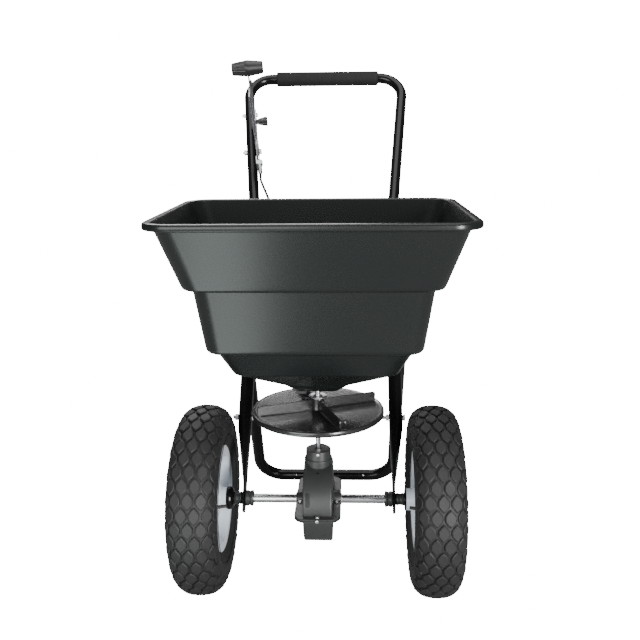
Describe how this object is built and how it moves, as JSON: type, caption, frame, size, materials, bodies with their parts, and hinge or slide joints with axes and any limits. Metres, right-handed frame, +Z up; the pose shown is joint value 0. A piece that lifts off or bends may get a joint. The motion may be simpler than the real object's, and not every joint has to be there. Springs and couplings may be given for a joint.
{
  "type": "broadcast spreader",
  "caption": "Walk-behind rotary spreader: hopper over a gear-driven spinning disc, pneumatic wheels, folding stand and tubular push handle with a gate lever.",
  "frame": {"origin": "middle of the footprint's bounding box, on the ground", "axes": "+Z up, -Y forward towards the front of the hopper, +Y back towards the operator, +X along the axle towards the wheel that turns freely"},
  "size_m": [0.49, 0.791, 0.9321],
  "materials": {
    "black_paint": "gloss black enamel on steel tube and plate",
    "cable_sheath": "smooth black cable sheath",
    "hopper_plastic": "satin black moulded plastic with a slightly green grey cast",
    "case_plastic": "black moulded nylon",
    "disc_plastic": "half gloss black moulded disc",
    "tyre_rubber": "black rubber tread and sidewall",
    "valve_rubber": "black rubber valve stem",
    "rim_paint": "pale blue white enamel on pressed steel",
    "zinc": "bright zinc plate",
    "steel": "plain bright steel",
    "foam": "black foam sleeve",
    "knob_plastic": "black moulded knob",
    "gear_steel": "dull gear steel",
    "gear_nylon": "natural nylon"
  },
  "bodies": {
    "frame": {"side_tube_left": "black_paint", "side_tube_right": "black_paint", "stand": "black_paint", "handle": "black_paint", "hopper_bracket_left": "black_paint", "hopper_bracket_right": "black_paint", "control_cable": "cable_sheath", "hopper": "hopper_plastic", "gear_case_upper": "case_plastic", "gear_case_lower": "case_plastic", "gate_guide": "case_plastic", "axle_bearing_left": "case_plastic", "axle_bearing_right": "case_plastic", "hub_spacer_left": "case_plastic", "hub_spacer_right": "case_plastic", "tie_rod": "zinc", "tie_nut": "zinc", "control_plate": "zinc", "lever_pivot": "zinc", "plate_bolt": "zinc", "handle_bolt_left": "zinc", "handle_bolt_right": "zinc", "bracket_bolt_left": "zinc", "bracket_bolt_right": "zinc", "stand_bolt_left_1": "zinc", "stand_bolt_left_2": "zinc", "stand_bolt_right_1": "zinc", "stand_bolt_right_2": "zinc", "case_screw_front": "zinc", "case_screw_rear": "zinc", "case_screw_left": "zinc", "case_screw_right": "zinc", "case_bush_left": "steel", "case_bush_right": "steel", "cable_adjuster": "steel", "handle_grip": "foam"},
    "drive_wheel": {"axle": "zinc", "rim_left": "rim_paint", "tyre_left": "tyre_rubber", "valve_left": "valve_rubber", "cotter_left": "steel", "cotter_right": "steel", "drive_pin": "steel", "crown_gear": "gear_nylon", "gear_pin": "steel"},
    "free_wheel": {"rim_right": "rim_paint", "tyre_right": "tyre_rubber", "valve_right": "valve_rubber"},
    "spinner": {"impeller_shaft": "zinc", "pinion": "gear_steel", "impeller": "disc_plastic", "impeller_pin": "steel", "thrust_washer": "zinc", "agitator": "steel"},
    "control_lever": {"lever": "zinc", "lever_knob": "knob_plastic"},
    "pull_wire": {"lever_wire": "steel"},
    "gate": {"gate_plate": "zinc", "gate_wire": "steel"},
    "lever_stop": {"stop_knob": "knob_plastic"}
  },
  "joints": [
    {"name": "axle_spin", "type": "hinge", "parent": "frame", "child": "drive_wheel", "pos_m": [0, -0.20348, 0.165], "axis": [1, 0, 0], "continuous": true},
    {"name": "free_wheel_spin", "type": "hinge", "parent": "frame", "child": "free_wheel", "pos_m": [0, -0.20348, 0.165], "axis": [1, 0, 0], "continuous": true},
    {"name": "impeller_spin", "type": "hinge", "parent": "frame", "child": "spinner", "pos_m": [0, -0.20348, 0.335], "axis": [0, 0, 1], "continuous": true},
    {"name": "lever_swing", "type": "hinge", "parent": "frame", "child": "control_lever", "pos_m": [-0.15697, 0.25662, 0.74968], "axis": [-0.9961, -0.0543, -0.069], "range_deg": [0, 28]},
    {"name": "wire_pull", "type": "slide", "parent": "frame", "child": "pull_wire", "axis": [-0.0866, 0.4825, 0.8716], "range_m": [0, 0.01945]},
    {"name": "gate_slide", "type": "slide", "parent": "frame", "child": "gate", "axis": [0, 1, 0], "range_m": [0, 0.01945]},
    {"name": "stop_set", "type": "hinge", "parent": "frame", "child": "lever_stop", "pos_m": [-0.15697, 0.25662, 0.74968], "axis": [0.9961, 0.0543, 0.069], "range_deg": [0, 10]}
  ],
  "couplings": [
    {"joint": "impeller_spin", "follows": "axle_spin", "ratio": -4.5},
    {"joint": "wire_pull", "follows": "lever_swing", "m_per_rad": 0.039603},
    {"joint": "gate_slide", "follows": "lever_swing", "m_per_rad": 0.039603}
  ]
}
